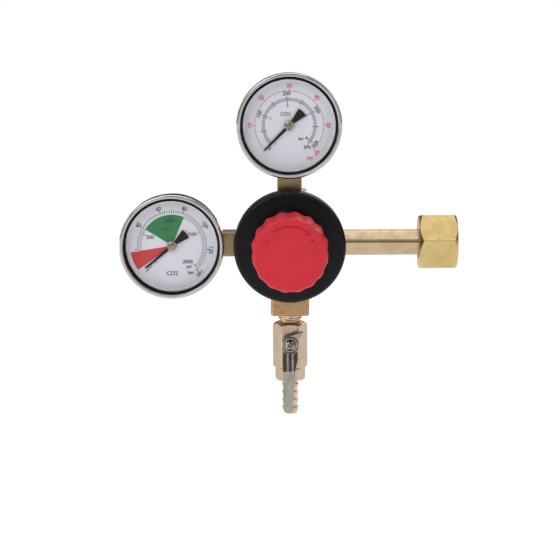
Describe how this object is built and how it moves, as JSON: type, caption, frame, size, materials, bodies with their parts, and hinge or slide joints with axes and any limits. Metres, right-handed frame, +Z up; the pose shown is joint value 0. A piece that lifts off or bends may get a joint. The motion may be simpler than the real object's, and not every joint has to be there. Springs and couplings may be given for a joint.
{
  "type": "carbon dioxide regulator",
  "caption": "Gas regulator with round pressure gauges on top and at the side, a large adjusting knob, a nut for a gas cylinder and a levered hose barb below.",
  "frame": {"origin": "centre of the inlet washer's outer face, on the inlet's axis, where the regulator seats on the cylinder's valve", "axes": "+X out along the inlet towards the cylinder's valve, +Z up, -Y towards the viewer: the way the dials and the knob face"},
  "size_m": [0.1831, 0.077, 0.1883],
  "materials": {
    "black_paint": "satin",
    "black_plastic": "gloss",
    "brass": "machined",
    "bronze": "sintered",
    "chrome": "polished",
    "clear": "clear",
    "fibre": "rough",
    "forged_brass": "forged",
    "red_plastic": "satin",
    "rubber": "matte",
    "steel": "bright",
    "white_paint": "satin",
    "white_plastic": "satin",
    "zinc": "plated"
  },
  "bodies": {
    "regulator": {"body": "forged_brass", "bonnet": "black_plastic", "bonnet_insert": "brass", "diaphragm": "rubber", "slip_ring": "steel", "seat_nozzle": "brass", "adjusting_spring": "steel", "poppet_spring": "steel", "inlet_nipple": "brass", "inlet_washer": "fibre", "inlet_filter": "bronze", "relief_body": "brass", "relief_spring": "steel", "valve_body": "brass", "ball_seat_upper": "white_plastic", "ball_seat_lower": "white_plastic", "stem_packing": "white_plastic", "hose_barb": "brass", "low_gauge_case": "chrome", "low_gauge_bezel": "chrome", "low_gauge_lens": "clear", "low_gauge_gasket": "rubber", "low_gauge_dial": "white_paint", "low_gauge_socket": "brass", "low_gauge_movement": "brass", "low_gauge_tube": "brass", "low_gauge_hairspring": "steel", "high_gauge_case": "chrome", "high_gauge_bezel": "chrome", "high_gauge_lens": "clear", "high_gauge_gasket": "rubber", "high_gauge_dial": "white_paint", "high_gauge_socket": "brass", "high_gauge_movement": "brass", "high_gauge_tube": "brass", "high_gauge_hairspring": "steel"},
    "button": {"spring_button": "steel"},
    "knob": {"knob": "red_plastic", "adjusting_screw": "steel"},
    "plate": {"diaphragm_plate": "brass"},
    "poppet": {"poppet": "brass", "poppet_seat": "white_plastic"},
    "nut": {"inlet_nut": "brass"},
    "relief_stem": {"relief_stem": "brass"},
    "relief_ring": {"relief_ring": "steel"},
    "shutoff": {"lever": "zinc", "lever_screw": "chrome", "valve_stem": "steel", "valve_ball": "chrome"},
    "check_ball": {"check_ball": "rubber"},
    "low_needle": {"low_gauge_needle": "black_paint", "low_gauge_pinion": "brass"},
    "low_sector": {"low_gauge_sector": "brass"},
    "low_tip": {"low_gauge_tube_tip": "brass"},
    "low_link": {"low_gauge_link": "steel"},
    "high_needle": {"high_gauge_needle": "black_paint", "high_gauge_pinion": "brass"},
    "high_sector": {"high_gauge_sector": "brass"},
    "high_tip": {"high_gauge_tube_tip": "brass"},
    "high_link": {"high_gauge_link": "steel"}
  },
  "joints": [
    {"name": "knob_turn", "type": "hinge", "parent": "button", "child": "knob", "pos_m": [-0.0833, -0.0345, 0], "axis": [0, 1, 0], "range_deg": [0, 1350]},
    {"name": "button_slide", "type": "slide", "parent": "regulator", "child": "button", "axis": [0, 1, 0], "range_m": [0, 0.00397], "deforming": ["adjusting_spring"]},
    {"name": "plate_slide", "type": "slide", "parent": "regulator", "child": "plate", "axis": [0, 1, 0], "range_m": [0, 0.00081], "deforming": ["diaphragm"]},
    {"name": "poppet_slide", "type": "slide", "parent": "regulator", "child": "poppet", "axis": [0, 1, 0], "range_m": [0, 0.00081], "deforming": ["poppet_spring"]},
    {"name": "nut_turn", "type": "hinge", "parent": "regulator", "child": "nut", "pos_m": [0, 0, 0], "axis": [1, 0, 0], "continuous": true},
    {"name": "relief_lift", "type": "slide", "parent": "regulator", "child": "relief_stem", "axis": [0, 0, 1], "range_m": [0, 0.002], "stiffness_N_per_m": 1500, "springref_m": -0.004, "deforming": ["relief_spring"]},
    {"name": "ring_swing", "type": "hinge", "parent": "relief_stem", "child": "relief_ring", "pos_m": [-0.0833, 0.0195, 0.0276], "axis": [0, 1, 0], "range_deg": [-192, 0]},
    {"name": "lever_turn", "type": "hinge", "parent": "regulator", "child": "shutoff", "pos_m": [-0.0833, 0, -0.0545], "axis": [0, 1, 0], "range_deg": [0, 90]},
    {"name": "check_drop", "type": "slide", "parent": "regulator", "child": "check_ball", "axis": [0, 0, 1], "range_m": [0, 0.0024]},
    {"name": "low_needle_turn", "type": "hinge", "parent": "regulator", "child": "low_needle", "pos_m": [-0.0833, -0.01, 0.0648], "axis": [0, 1, 0], "range_deg": [0, 270.05], "deforming": ["low_gauge_hairspring"]},
    {"name": "low_sector_turn", "type": "hinge", "parent": "regulator", "child": "low_sector", "pos_m": [-0.0833, -0.0055, 0.0522], "axis": [0, 1, 0], "range_deg": [-45, 0], "stiffness_Nm_per_rad": 0.0002, "springref_deg": 14.32},
    {"name": "low_tip_swing", "type": "hinge", "parent": "regulator", "child": "low_tip", "pos_m": [-0.08574, 0.0008, 0.07028], "axis": [0, 1, 0], "range_deg": [-6.12, 0], "deforming": ["low_gauge_tube"]},
    {"name": "low_link_swing", "type": "hinge", "parent": "low_tip", "child": "low_link", "pos_m": [-0.0658, -0.0067, 0.0563], "axis": [0, 1, 0], "range_deg": [0, 0.26]},
    {"name": "high_needle_turn", "type": "hinge", "parent": "regulator", "child": "high_needle", "pos_m": [-0.1471, -0.01, 0], "axis": [0, 1, 0], "range_deg": [0, 270.05], "deforming": ["high_gauge_hairspring"]},
    {"name": "high_sector_turn", "type": "hinge", "parent": "regulator", "child": "high_sector", "pos_m": [-0.1345, -0.0055, 0], "axis": [0, 1, 0], "range_deg": [-45, 0], "stiffness_Nm_per_rad": 0.0002, "springref_deg": 14.32},
    {"name": "high_tip_swing", "type": "hinge", "parent": "regulator", "child": "high_tip", "pos_m": [-0.15258, 0.0008, -0.00244], "axis": [0, 1, 0], "range_deg": [-6.12, 0], "deforming": ["high_gauge_tube"]},
    {"name": "high_link_swing", "type": "hinge", "parent": "high_tip", "child": "high_link", "pos_m": [-0.1386, -0.0067, 0.0175], "axis": [0, 1, 0], "range_deg": [0, 0.26]}
  ],
  "couplings": [
    {"joint": "button_slide", "follows": "knob_turn", "m_per_rad": 0.00016844},
    {"joint": "plate_slide", "follows": "knob_turn", "m_per_rad": 0.000033953},
    {"joint": "poppet_slide", "follows": "knob_turn", "m_per_rad": 0.000033953},
    {"joint": "low_needle_turn", "follows": "low_sector_turn", "ratio": -6},
    {"joint": "low_tip_swing", "follows": "low_sector_turn", "ratio": 0.13556},
    {"joint": "low_link_swing", "follows": "low_sector_turn", "ratio": -0.005556},
    {"joint": "high_needle_turn", "follows": "high_sector_turn", "ratio": -6},
    {"joint": "high_tip_swing", "follows": "high_sector_turn", "ratio": 0.13556},
    {"joint": "high_link_swing", "follows": "high_sector_turn", "ratio": -0.005556}
  ]
}
